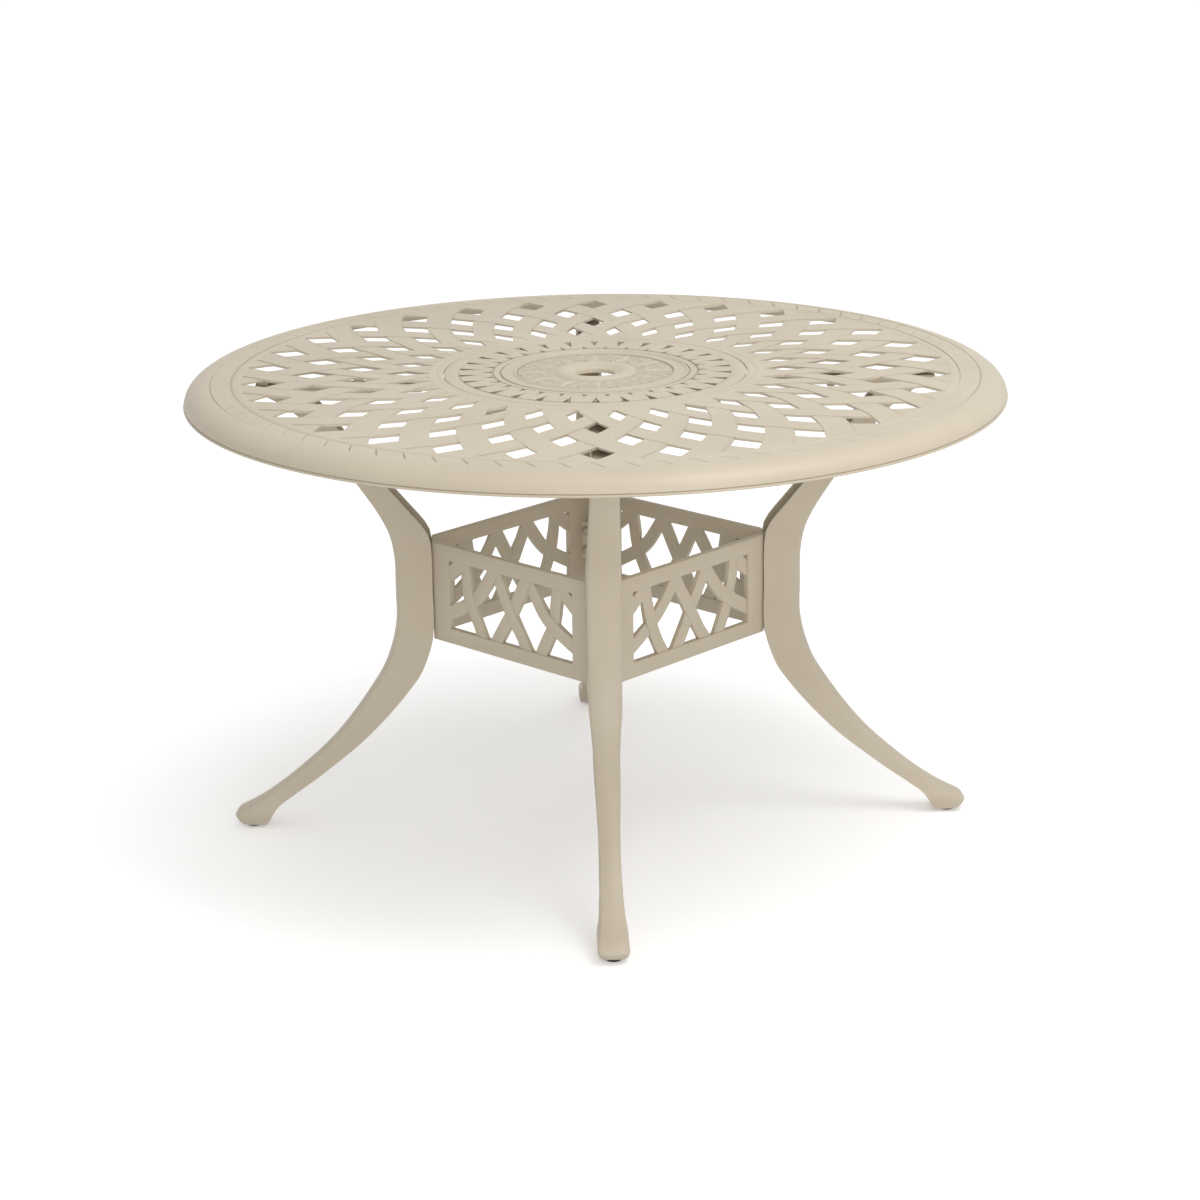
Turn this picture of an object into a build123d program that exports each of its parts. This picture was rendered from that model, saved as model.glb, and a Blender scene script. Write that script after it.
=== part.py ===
from build123d import *
import os
from math import cos, radians, sin, sqrt

# Round cast patio table: woven lattice top, inlaid lazy Susan, four cabriole legs.
# Millimetres and degrees. +Z is up, the floor is Z = 0 and the front leg points to -Y.

# Overall size
table_height = 711.0
top_diameter = 1220.0

# Cast top ring, from its edge inwards
plate_thickness = 5.0
rim_roll_width = 40.0
rim_roll_drop = 30.0
rim_roll_steps = 4
rim_wall = 5.0
rope_width = 31.5
bead_width = 14.5
inner_ring_width = 23.8

# Woven lattice between the bead and the inner ring
lattice_rows = 4
lattice_columns = 30
lattice_edge = 32.0  # from a ring to the nearest row of openings
lattice_turn = -1.3  # of the weave against the legs
opening_share = 0.44  # of the pitch that an opening takes
weave_relief = 1.2
weave_shoulder = 0.04  # of the pitch, left flat beside a raised band
weave_ramp = 0.28  # of the pitch, over which a band dives under the next

# Lazy Susan disc
susan_diameter = 450.0
susan_gap = 1.2
susan_thickness = 7.0
umbrella_hole_radius = 30.5
collar_radius = 61.0
collar_crest_radius = 50.0
collar_height = 2.7
funnel_depth = 5.0
collar_steps = 2
hub_wall = 8.5
hub_depth = 10.0  # from the disc's face to the end of the hole
notch_outer_radius = 203.0
notch_length = 31.0
notch_width = 13.0
notch_depth = 3.5

# Bracket that carries the disc
bracket_thickness = 8.0
bracket_arm_width = 36.0
bracket_end_length = 20.0
bracket_margin = 2.0  # short of the lattice
bracket_ring_radius = 140.0  # to the flats of an eight-sided ring
bracket_ring_width = 45.0
pad_thickness = 8.0
pad_length = 32.0
pad_width = 24.0

# Legs
leg_waist_share = 0.505  # of the top's radius, to the outer face of the upright part
leg_depth = 57.0
leg_wall = 8.0
leg_side_wall = 5.0
leg_bend_margin = 18.0  # the outer face bends this far inside the panel's height
leg_top_width = 38.0
leg_waist_width = 50.0
leg_ankle_width = 31.0
leg_foot_width = 45.0
ankle_height = 110.0
instep_height = 27.0
toe_inset = 48.0  # inside the rim
toe_round = 6.0
foot_length = 45.0
arm_thickness = 12.0
arm_tip_height = 8.0
arm_margin = 18.0  # short of the bead outside, clear of the bracket inside
boss_height = 8.0
boss_width = 14.0

# Lattice panels
panel_bottom_share = 0.425  # of the table's height
panel_height = 154.0
panel_thickness = 11.0
panel_end_side = 20.0  # from the middle of a leg to where the outer face meets it
panel_rail = 23.5
panel_stile = 35.5
panel_bar_width = 19.0
panel_bar_depth = 7.5
panel_bar_step = 1.3  # a bar that passes under lies this much further in
lug_thickness = 14.0
lug_height = 60.0
lug_gap = 4.0  # between the lugs of two panels on one leg

# Feet
glide_radius = 13.0
glide_height = 5.0
glide_inset = 22.0  # from the toe to the glide's middle

# Radii of the top, worked out from its edge and from the disc
top_radius = top_diameter / 2
roll_inner_radius = top_radius - rim_roll_width
lattice_outer_radius = roll_inner_radius - rope_width - bead_width
susan_radius = susan_diameter / 2
well_radius = susan_radius + susan_gap
lattice_inner_radius = well_radius + inner_ring_width
row_span = lattice_outer_radius - lattice_inner_radius - 2 * lattice_edge
row_pitch = row_span / (lattice_rows - 1)
column_pitch = 360 / lattice_columns
band_share = 1 - opening_share

# Heights
under_plate = table_height - plate_thickness
field_height = table_height - weave_relief
disc_under = field_height - susan_thickness
bracket_top = disc_under - pad_thickness
arm_top = under_plate - boss_height
arm_under = arm_top - arm_thickness
panel_bottom = panel_bottom_share * table_height
panel_top = panel_bottom + panel_height
sole_height = glide_height

# Places that several pieces share
leg_waist_radius = leg_waist_share * top_radius
leg_inner_radius = leg_waist_radius - leg_depth
toe_reach = top_radius - toe_inset
panel_distance = (leg_inner_radius + panel_end_side) / sqrt(2)
bracket_radius = lattice_inner_radius - bracket_margin
leg_count = 4


def row_radius(row):
    """Radius of a row of the lattice. Crossings meet the front and back legs in even rows, the side legs in odd."""
    return lattice_inner_radius + lattice_edge + row * row_pitch


def lattice_point(row, column):
    """A point of the polar lattice, counted in rows from the innermost and in columns."""
    radius = row_radius(row)
    angle = radians(-90 + lattice_turn + column * column_pitch)
    return (radius * cos(angle), radius * sin(angle))


def opening_corners(row):
    """The four corners of a lattice opening: inner, right, outer and left."""
    column = 0.5 if row % 2 == 0 else 0.0
    half = opening_share / 2
    return [
        lattice_point(row - opening_share, column),
        lattice_point(row, column + half),
        lattice_point(row + opening_share, column),
        lattice_point(row, column - half),
    ]


def crossing_corners(row, along, across):
    """Corners of the stretch of the upper band at a crossing. Rows lean to alternate sides."""
    lean = 1 if row % 2 == 0 else -1
    column = 0.0 if row % 2 == 0 else 0.5
    corners = []
    for step, side in ((along, across), (along, -across), (-along, -across), (-along, across)):
        corners.append(lattice_point(row + step + side, column + lean * (step - side) / 2))
    return corners


def weave_pad(row):
    """Raised stretch of the band that passes over at a crossing, with a ramp at each end."""
    across = band_share / 2 - weave_shoulder
    along = band_share / 2
    with BuildPart() as pad:
        with BuildSketch(Plane.XY.offset(field_height)):
            Polygon(*crossing_corners(row, along + weave_ramp, across))
        with BuildSketch(Plane.XY.offset(table_height)):
            Polygon(*crossing_corners(row, along, across))
        loft(ruled=True)
    return pad.part


def ellipse_points(middle, half_width, half_height, start, end, steps):
    """Points along part of an ellipse, for a moulding that is turned in short facets."""
    points = []
    for step in range(steps + 1):
        angle = radians(start + (end - start) * step / steps)
        points.append((middle[0] + half_width * cos(angle), middle[1] + half_height * sin(angle)))
    return points


os.makedirs("parts", exist_ok=True)

# Table top: ring casting with a rolled rim, the woven lattice and bosses for the legs
pads = [weave_pad(row) for row in range(lattice_rows)]
edge_height = field_height - rim_roll_drop
rim_roll = ellipse_points((roll_inner_radius, edge_height), rim_roll_width, rim_roll_drop, 90, 0, rim_roll_steps)

with BuildPart() as table_top:
    with BuildSketch(Plane.XZ):
        Polygon(
            (well_radius, under_plate),
            (well_radius, field_height),
            *rim_roll,
            (top_radius - rim_wall, edge_height),
            (roll_inner_radius, under_plate),
        )
    revolve(axis=Axis.Z)
    with PolarLocations(0, lattice_columns):
        for pad in pads:
            add(pad)
    with BuildSketch(Plane.XY.offset(under_plate)):
        with PolarLocations(0, lattice_columns):
            for row in range(lattice_rows):
                Polygon(*opening_corners(row))
    extrude(amount=plate_thickness, mode=Mode.SUBTRACT)
    for row in range(lattice_rows):
        with BuildSketch(Plane.XY.offset(arm_top)):
            with PolarLocations(row_radius(row), 2, start_angle=-90 if row % 2 == 0 else 0):
                Rectangle(boss_width, boss_width)
        extrude(amount=boss_height)
table_top.part.label = "table_top"
export_step(table_top.part, "parts/table_top.step")

# Lazy Susan disc: plate with a raised umbrella collar, a short hub and the weave's notches
hub_bottom = field_height - hub_depth
hub_radius = umbrella_hole_radius + hub_wall
collar_outside = ellipse_points(
    (collar_crest_radius, field_height), collar_radius - collar_crest_radius, collar_height, 0, 90, collar_steps
)
collar_inside = ellipse_points(
    (collar_crest_radius, field_height - funnel_depth),
    collar_crest_radius - umbrella_hole_radius,
    collar_height + funnel_depth,
    90,
    180,
    collar_steps,
)

with BuildPart() as lazy_susan_disc:
    with BuildSketch(Plane.XZ):
        Polygon(
            (umbrella_hole_radius, hub_bottom),
            (hub_radius, hub_bottom),
            (hub_radius, disc_under),
            (susan_radius, disc_under),
            (susan_radius, field_height),
            *collar_outside,
            *collar_inside[1:],
        )
    revolve(axis=Axis.Z)
    with BuildSketch(Plane.XY.offset(field_height)):
        with PolarLocations(notch_outer_radius, lattice_columns, start_angle=-90 + lattice_turn):
            Polygon((0, notch_width / 2), (0, -notch_width / 2), (-notch_length, 0))
    extrude(amount=-notch_depth, mode=Mode.SUBTRACT)
lazy_susan_disc.part.label = "lazy_susan_disc"
export_step(lazy_susan_disc.part, "parts/lazy_susan_disc.step")

# Bracket: ring under the disc on arms whose ends hang from the top's inner ring
with BuildPart() as susan_bracket:
    with BuildSketch(Plane.XY.offset(bracket_top)):
        RegularPolygon(bracket_ring_radius, 8, major_radius=False)
        Rectangle(2 * bracket_radius, bracket_arm_width, rotation=45)
        Rectangle(2 * bracket_radius, bracket_arm_width, rotation=-45)
        RegularPolygon(bracket_ring_radius - bracket_ring_width, 8, major_radius=False, mode=Mode.SUBTRACT)
    extrude(amount=-bracket_thickness)
    with BuildSketch(Plane.XY.offset(bracket_top)):
        with PolarLocations(bracket_radius - bracket_end_length / 2, leg_count, start_angle=45):
            Rectangle(bracket_end_length, bracket_arm_width)
    extrude(amount=under_plate - bracket_top)
susan_bracket.part.label = "susan_bracket"
export_step(susan_bracket.part, "parts/susan_bracket.step")

# Nylon pads on the bracket's ring, on which the disc slides round
with BuildPart() as susan_pads:
    with BuildSketch(Plane.XY.offset(bracket_top)):
        with PolarLocations(bracket_ring_radius - bracket_ring_width / 2, leg_count, start_angle=45):
            Rectangle(pad_length, pad_width)
    extrude(amount=pad_thickness)
susan_pads.part.label = "susan_pads"
export_step(susan_pads.part, "parts/susan_pads.step")

# Leg outline in its radial plane: distance from the axis and height.
# A knot has its place between the two ends of an edge, in shares, and the edge's slope there.
waist_low = panel_bottom + leg_bend_margin
waist_high = panel_top - leg_bend_margin
arm_outer_radius = lattice_outer_radius - arm_margin
arm_inner_radius = bracket_radius + arm_margin / 2
arm_join_radius = row_radius(2) + boss_width / 2
heel_radius = toe_reach - foot_length
outer_upper_knots = ((0.222, 0.372, 1.5), (1, 1, 0.45))
outer_lower_knots = ((0.245, 0.425, -1.4), (1, 1, -0.45))
inner_upper_knots = ((0.21, 0.222, 1.35), (1, 1, 1.0))
inner_lower_knots = ((0.25, 0.385, -1.23), (0.88, 0.868, -0.75), (1, 1, -3.0))


def arc_pair(start, leave, end, arrive):
    """Two tangent arcs from start to end that leave and arrive in the given directions."""
    chord = end - start
    along = chord.dot(leave + arrive)
    bend = 2 * (1 - leave.dot(arrive))
    handle = (sqrt(along**2 + bend * chord.dot(chord)) - along) / bend
    joint = (start + end + (leave - arrive) * handle) / 2
    first = TangentArc(start, joint, tangent=leave)
    return [first, TangentArc(joint, end, tangent=first % 1)]


def leg_edge(start, end, knots):
    """A leg edge that leaves the upright part straight and sweeps through its knots."""
    span = Vector(*end) - Vector(*start)
    point = Vector(*start)
    heading = Vector(0, span.Y).normalized()
    arcs = []
    for across, along, slope in knots:
        next_point = Vector(start[0] + across * span.X, start[1] + along * span.Y)
        next_heading = Vector(1, slope).normalized()
        arcs.extend(arc_pair(point, heading, next_point, next_heading))
        point = next_point
        heading = next_heading
    return arcs


def inside_of(arcs, turn):
    """Ends and middles of the arcs, moved square to them by the thickness of the wall."""
    points = []
    for arc, share in [(arc, share) for arc in arcs for share in (0, 0.5)] + [(arcs[-1], 1)]:
        heading = arc % share
        points.append(arc @ share + Vector(-heading.Y, heading.X) * turn * leg_wall)
    return points


outer_upper = leg_edge(
    (leg_waist_radius, waist_high), (arm_outer_radius, arm_top - arm_tip_height), outer_upper_knots
)
outer_lower = leg_edge((leg_waist_radius, waist_low), (toe_reach, instep_height), outer_lower_knots)
inner_upper = leg_edge((leg_inner_radius, panel_top), (arm_join_radius, arm_under), inner_upper_knots)
inner_lower = leg_edge((leg_inner_radius, panel_bottom), (heel_radius, sole_height), inner_lower_knots)
channel_upper = inside_of(outer_upper, 1)
channel_lower = inside_of(outer_lower, -1)


def leg_slab(inset):
    """Solid as wide as the leg seen from the front, less the inset at each side."""
    side = [
        (leg_foot_width / 2 - inset, 0),
        (leg_ankle_width / 2 - inset, ankle_height),
        (leg_waist_width / 2 - inset, panel_bottom),
        (leg_waist_width / 2 - inset, panel_top),
        (leg_top_width / 2 - inset, arm_under),
        (leg_top_width / 2 - inset, table_height),
    ]
    other_side = [(-across, height) for across, height in reversed(side)]
    with BuildPart() as slab:
        with BuildSketch(Plane.YZ):
            Polygon(*side, *other_side)
        extrude(amount=top_radius)
    return slab.part


# One leg casting on the +X side: a channel that is open inwards above and below the panels
outer_slab = leg_slab(0)
channel_slab = leg_slab(leg_side_wall)
web_radius = leg_inner_radius + leg_wall

with BuildPart() as leg_channel:
    with BuildSketch(Plane.XZ):
        Polygon(
            *channel_lower,
            (heel_radius - foot_length, instep_height + leg_wall),
            (leg_inner_radius, ankle_height),
            (leg_inner_radius, panel_bottom),
            (web_radius, panel_bottom),
            (web_radius, panel_top),
            (leg_inner_radius, panel_top),
            (leg_inner_radius, arm_under),
            *reversed(channel_upper),
        )
        with Locations((0, arm_under)):
            Rectangle(top_diameter, table_height, align=(Align.MIN, Align.MIN), mode=Mode.SUBTRACT)
    extrude(amount=leg_waist_width, both=True)
    add(channel_slab, mode=Mode.INTERSECT)

with BuildPart() as leg_casting:
    with BuildSketch(Plane.XZ):
        with BuildLine():
            add(outer_upper)
            add(outer_lower)
            add(inner_upper)
            add(inner_lower)
            Line((leg_waist_radius, waist_low), (leg_waist_radius, waist_high))
            Line((leg_inner_radius, panel_bottom), (leg_inner_radius, panel_top))
            Polyline(
                (arm_outer_radius, arm_top - arm_tip_height),
                (arm_outer_radius, arm_top),
                (arm_inner_radius, arm_top),
                (arm_inner_radius, arm_under),
                (arm_join_radius, arm_under),
            )
            ThreePointArc(
                (toe_reach, instep_height),
                (toe_reach + toe_round, (instep_height + sole_height) / 2),
                (toe_reach - toe_round, sole_height),
            )
            Line((toe_reach - toe_round, sole_height), (heel_radius, sole_height))
        make_face()
    extrude(amount=leg_waist_width, both=True)
    add(outer_slab, mode=Mode.INTERSECT)
    add(leg_channel.part, mode=Mode.SUBTRACT)

with BuildPart() as leg_front:
    add(leg_casting.part, rotation=(0, 0, -90))
leg_front.part.label = "leg_front"
export_step(leg_front.part, "parts/leg_front.step")

with BuildPart() as leg_right:
    add(leg_casting.part)
leg_right.part.label = "leg_right"
export_step(leg_right.part, "parts/leg_right.step")

with BuildPart() as leg_back:
    add(leg_casting.part, rotation=(0, 0, 90))
leg_back.part.label = "leg_back"
export_step(leg_back.part, "parts/leg_back.step")

with BuildPart() as leg_left:
    add(leg_casting.part, rotation=(0, 0, 180))
leg_left.part.label = "leg_left"
export_step(leg_left.part, "parts/leg_left.step")

# Panel outline: half-length of its opening, and how far its rails reach before the mitres
panel_side = Vector(cos(radians(45)), sin(radians(45)), 0)
panel_plane = Plane(
    origin=panel_side * panel_distance, x_dir=(-sin(radians(45)), cos(radians(45)), 0), z_dir=panel_side
)
panel_middle = panel_bottom + panel_height / 2
panel_reach = leg_inner_radius * sqrt(2) - panel_distance + panel_thickness
opening_half = panel_reach - panel_thickness - panel_stile
opening_height = panel_height - 2 * panel_rail
opening_bottom = panel_bottom + panel_rail
lug_width = panel_end_side - lug_gap / 2

# Sweep of the bars that lean one way, in shares of the opening's half-length and of its height
bar_shares = (
    ((-0.775, 1.07), (-0.68, 0.48), (-0.45, -0.07)),
    ((-0.285, 1.07), (0.265, -0.07)),
    ((0.235, 1.07), (0.57, 0.54), (1.06, 0.20)),
    ((0.74, 1.07), (1.06, 0.77)),
)


def bar_points(shares, side):
    """Points of a bar in the panel's own plane. The side mirrors the lean."""
    points = []
    for along, up in shares:
        points.append((side * along * opening_half, opening_bottom + up * opening_height))
    return points


def panel_bars(side, depth):
    """All bars that lean one way, their outer faces set in by the depth."""
    with BuildPart() as bars:
        with BuildSketch(panel_plane.offset(-depth)):
            for shares in bar_shares:
                sweep = Line if len(shares) == 2 else ThreePointArc
                with BuildLine():
                    sweep(*bar_points(shares, side))
                trace(line_width=panel_bar_width)
        extrude(amount=-panel_bar_depth)
    return bars.part


# One panel casting between the +X and +Y legs: frame, woven bars and lugs, mitred to the legs
with BuildPart() as panel_casting:
    with BuildSketch(panel_plane):
        with Locations((0, panel_middle)):
            Rectangle(2 * panel_reach, panel_height)
            Rectangle(2 * opening_half, opening_height, mode=Mode.SUBTRACT)
    extrude(amount=-panel_thickness)
    add(panel_bars(1, panel_bar_step))
    add(panel_bars(-1, 2 * panel_bar_step))
    with BuildSketch(Plane.XY.offset(panel_middle - lug_height / 2)):
        with Locations((leg_inner_radius, lug_gap / 2)):
            Rectangle(lug_thickness, lug_width, align=(Align.MAX, Align.MIN))
        with Locations((lug_gap / 2, leg_inner_radius)):
            Rectangle(lug_width, lug_thickness, align=(Align.MIN, Align.MAX))
    extrude(amount=lug_height)
    with BuildSketch(Plane.XY):
        Rectangle(2 * leg_inner_radius, 2 * leg_inner_radius)
    extrude(amount=table_height, mode=Mode.INTERSECT)

with BuildPart() as panel_front_right:
    add(panel_casting.part, rotation=(0, 0, -90))
panel_front_right.part.label = "panel_front_right"
export_step(panel_front_right.part, "parts/panel_front_right.step")

with BuildPart() as panel_back_right:
    add(panel_casting.part)
panel_back_right.part.label = "panel_back_right"
export_step(panel_back_right.part, "parts/panel_back_right.step")

with BuildPart() as panel_back_left:
    add(panel_casting.part, rotation=(0, 0, 90))
panel_back_left.part.label = "panel_back_left"
export_step(panel_back_left.part, "parts/panel_back_left.step")

with BuildPart() as panel_front_left:
    add(panel_casting.part, rotation=(0, 0, 180))
panel_front_left.part.label = "panel_front_left"
export_step(panel_front_left.part, "parts/panel_front_left.step")

# Glides under the feet
with BuildPart() as foot_glides:
    with BuildSketch(Plane.XY):
        with PolarLocations(toe_reach - glide_inset, leg_count):
            Circle(glide_radius)
    extrude(amount=glide_height)
foot_glides.part.label = "foot_glides"
export_step(foot_glides.part, "parts/foot_glides.step")
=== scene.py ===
import math

import bmesh
import bpy
from mathutils import Matrix, Vector
from mathutils.geometry import interpolate_bezier


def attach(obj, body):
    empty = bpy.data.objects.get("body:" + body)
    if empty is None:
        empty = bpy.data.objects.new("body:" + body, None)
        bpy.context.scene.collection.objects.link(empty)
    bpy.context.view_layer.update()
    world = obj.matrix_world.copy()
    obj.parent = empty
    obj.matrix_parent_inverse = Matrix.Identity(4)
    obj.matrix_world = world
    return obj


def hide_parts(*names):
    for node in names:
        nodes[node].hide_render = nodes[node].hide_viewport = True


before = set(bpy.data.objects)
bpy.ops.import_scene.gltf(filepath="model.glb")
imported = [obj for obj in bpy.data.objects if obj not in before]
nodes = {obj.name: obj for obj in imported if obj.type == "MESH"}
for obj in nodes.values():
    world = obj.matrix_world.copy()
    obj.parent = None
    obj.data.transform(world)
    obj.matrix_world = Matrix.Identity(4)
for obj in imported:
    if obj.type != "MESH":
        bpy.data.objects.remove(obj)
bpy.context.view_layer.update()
mm = 0.001


# finishes
coatData = {
    "light": (0.585, 0.512, 0.396),
    "dark": (0.545, 0.472, 0.358),
    "cloudScale": 5.0,
    "grainScale": 900.0,
    "roughLow": 0.40,
    "roughHigh": 0.54,
    "grainHeight": 0.00008,
    "tintFrom": 0.35,
    "tintTo": 0.65,
    "grainFrom": 0.3,
    "grainTo": 0.7,
    "grainStrength": 0.35,
}
plainData = {"cloudScale": 60, "grainHeight": 0.00005}


def startMaterial(name):
    mat = bpy.data.materials.new(name)
    mat.use_nodes = True
    shader = mat.node_tree.nodes["Principled BSDF"]
    place = mat.node_tree.nodes.new("ShaderNodeTexCoord")
    return mat, shader, place


def addNoise(mat, place, scale, detail):
    noise = mat.node_tree.nodes.new("ShaderNodeTexNoise")
    noise.inputs["Scale"].default_value = scale
    noise.inputs["Detail"].default_value = detail
    mat.node_tree.links.new(place.outputs["Object"], noise.inputs["Vector"])
    return noise


def addTint(mat, noise, shader, low, high):
    ramp = mat.node_tree.nodes.new("ShaderNodeValToRGB")
    ramp.color_ramp.elements[0].position = coatData["tintFrom"]
    ramp.color_ramp.elements[0].color = (*low, 1)
    ramp.color_ramp.elements[1].position = coatData["tintTo"]
    ramp.color_ramp.elements[1].color = (*high, 1)
    mat.node_tree.links.new(noise.outputs["Fac"], ramp.inputs["Fac"])
    mat.node_tree.links.new(ramp.outputs["Color"], shader.inputs["Base Color"])


def addGrain(mat, noise, shader, roughLow, roughHigh, height):
    rough = mat.node_tree.nodes.new("ShaderNodeMapRange")
    rough.inputs["From Min"].default_value = coatData["grainFrom"]
    rough.inputs["From Max"].default_value = coatData["grainTo"]
    rough.inputs["To Min"].default_value = roughLow
    rough.inputs["To Max"].default_value = roughHigh
    bump = mat.node_tree.nodes.new("ShaderNodeBump")
    bump.inputs["Strength"].default_value = coatData["grainStrength"]
    bump.inputs["Distance"].default_value = height
    mat.node_tree.links.new(noise.outputs["Fac"], rough.inputs["Value"])
    mat.node_tree.links.new(rough.outputs["Result"], shader.inputs["Roughness"])
    mat.node_tree.links.new(noise.outputs["Fac"], bump.inputs["Height"])
    mat.node_tree.links.new(bump.outputs["Normal"], shader.inputs["Normal"])


def sandCoat(name, depth):
    mat, shader, place = startMaterial(name)
    low = [c * depth for c in coatData["dark"]]
    high = [c * depth for c in coatData["light"]]
    addTint(mat, addNoise(mat, place, coatData["cloudScale"], 3), shader, low, high)
    grain = addNoise(mat, place, coatData["grainScale"], 2)
    addGrain(mat, grain, shader, coatData["roughLow"], coatData["roughHigh"], coatData["grainHeight"])
    return mat


def plainFinish(name, low, high, roughLow, roughHigh, grainScale):
    mat, shader, place = startMaterial(name)
    addTint(mat, addNoise(mat, place, plainData["cloudScale"], 3), shader, low, high)
    grain = addNoise(mat, place, grainScale, 2)
    addGrain(mat, grain, shader, roughLow, roughHigh, plainData["grainHeight"])
    return mat


topCoat = sandCoat("sandCoatTop", 1.0)
discCoat = sandCoat("sandCoatDisc", 0.98)
legCoat = sandCoat("sandCoatLegs", 0.97)
panelCoat = sandCoat("sandCoatPanels", 0.96)
# painted shade: two darker copies of the sand coat, laid in grooves, pits, the relief bed and on the arm
# tops
bedPaintedShadeCoat = sandCoat("sandCoatBedPaintedShade", 0.84)
recessPaintedShadeCoat = sandCoat("sandCoatRecessPaintedShade", 0.58)
blackNylon = plainFinish("blackNylon", (0.012, 0.012, 0.012), (0.025, 0.024, 0.023), 0.4, 0.6, 700)
paleNylon = plainFinish("paleNylon", (0.55, 0.53, 0.48), (0.62, 0.60, 0.55), 0.35, 0.5, 700)
boltCoat = plainFinish("sandCoatBolts", (0.40, 0.34, 0.25), (0.46, 0.39, 0.29), 0.4, 0.55, 500)
print("finishes ready")


# helpers for the meshes
def finishPiece(name, bm, material, body, sharpAngle=32):
    bmesh.ops.recalc_face_normals(bm, faces=bm.faces)
    mesh = bpy.data.meshes.new(name)
    bm.to_mesh(mesh)
    bm.free()
    mesh.polygons.foreach_set("use_smooth", [True] * len(mesh.polygons))
    mesh.set_sharp_from_angle(angle=math.radians(sharpAngle))
    mesh.materials.append(material)
    piece = bpy.data.objects.new(name, mesh)
    bpy.context.collection.objects.link(piece)
    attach(piece, body)
    print(name, len(mesh.polygons), "faces")
    return piece


def spinRing(bm, outline, steps):
    verts = [bm.verts.new((r * mm, 0, z * mm)) for r, z in outline]
    edges = [bm.edges.new(pair) for pair in zip(verts, verts[1:] + verts[:1])]
    bmesh.ops.spin(
        bm, geom=verts + edges, cent=(0, 0, 0), axis=(0, 0, 1), angle=2 * math.pi,
        steps=steps, use_merge=True,
    )


def repeatRound(bm, geom, count):
    bmesh.ops.spin(
        bm, geom=geom, cent=(0, 0, 0), axis=(0, 0, 1), angle=2 * math.pi * (count - 1) / count,
        steps=count - 1, use_duplicate=True,
    )


def startSheet(bm, columns, rows):
    made = bmesh.ops.create_grid(bm, x_segments=columns, y_segments=rows, size=1)
    return made["verts"]


def facesOf(verts):
    return list({f for v in verts for f in v.link_faces})


def roundEdges(bm, edges, width, segments):
    bmesh.ops.bevel(
        bm, geom=edges, offset=width * mm, offset_type="OFFSET", affect="EDGES",
        segments=segments, profile=0.5, material=-1, clamp_overlap=True,
    )


def roundedBlock(bm, low, high, width, segments=2):
    verts = bmesh.ops.create_cube(bm, size=1)["verts"]
    size = [b - a for a, b in zip(low, high)]
    middle = [(a + b) / 2 for a, b in zip(low, high)]
    bmesh.ops.scale(bm, vec=Vector(size) * mm, verts=verts)
    bmesh.ops.translate(bm, vec=Vector(middle) * mm, verts=verts)
    roundEdges(bm, list({e for v in verts for e in v.link_edges}), width, segments)


def arcPoints(middle, halfWidth, halfHeight, start, end, steps):
    angles = [math.radians(start + (end - start) * i / steps) for i in range(steps + 1)]
    return [(middle[0] + halfWidth * math.cos(a), middle[1] + halfHeight * math.sin(a)) for a in angles]


def smoothPath(points, count):
    knots = [Vector(p) for p in points]
    dense = []
    for i in range(len(knots) - 1):
        before = knots[max(i - 1, 0)]
        after = knots[min(i + 2, len(knots) - 1)]
        pull = (knots[i + 1] - knots[i]).length / 3
        leave = knots[i] + (knots[i + 1] - before).normalized() * pull
        arrive = knots[i + 1] - (after - knots[i]).normalized() * pull
        dense += interpolate_bezier(knots[i], leave, arrive, knots[i + 1], 24)[:-1]
    dense.append(knots[-1])
    travel = [0]
    for a, b in zip(dense, dense[1:]):
        travel.append(travel[-1] + (b - a).length)
    even = []
    at = 0
    for i in range(count + 1):
        want = travel[-1] * i / count
        while at < len(dense) - 2 and travel[at + 1] < want:
            at += 1
        share = (want - travel[at]) / (travel[at + 1] - travel[at])
        even.append(dense[at].lerp(dense[at + 1], min(share, 1)))
    return even


def steadyValue(keys, at):
    for (a, low), (b, high) in zip(keys, keys[1:]):
        if at <= b:
            share = max(0, (at - a) / (b - a))
            return low + (high - low) * share * share * (3 - 2 * share)
    return keys[-1][1]


# woven lattice: one arched strip for each crossing, tucked under its neighbours
latticeData = {
    "rows": (-1, 0, 1, 2, 3, 4),
    "columns": 30,
    "firstRowRadius": 282,
    "rowPitch": 70,
    "turn": -91.3,
    "halfBand": 0.51,  # in half pitches
    "reach": 1.56,
    "middleHeight": 709.75,
    "relief": 0.32,
    "crown": 0.25,
    "underside": 706.2,
    "undersideStep": 0.1,  # keeps crossing bands from sharing a plane
    "draft": 0.97,  # how much narrower a band is below
    "edgeRound": 0.5,
    "innerCut": 246,
    "outerCut": 528,
    "steps": (14, 4),
}


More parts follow.
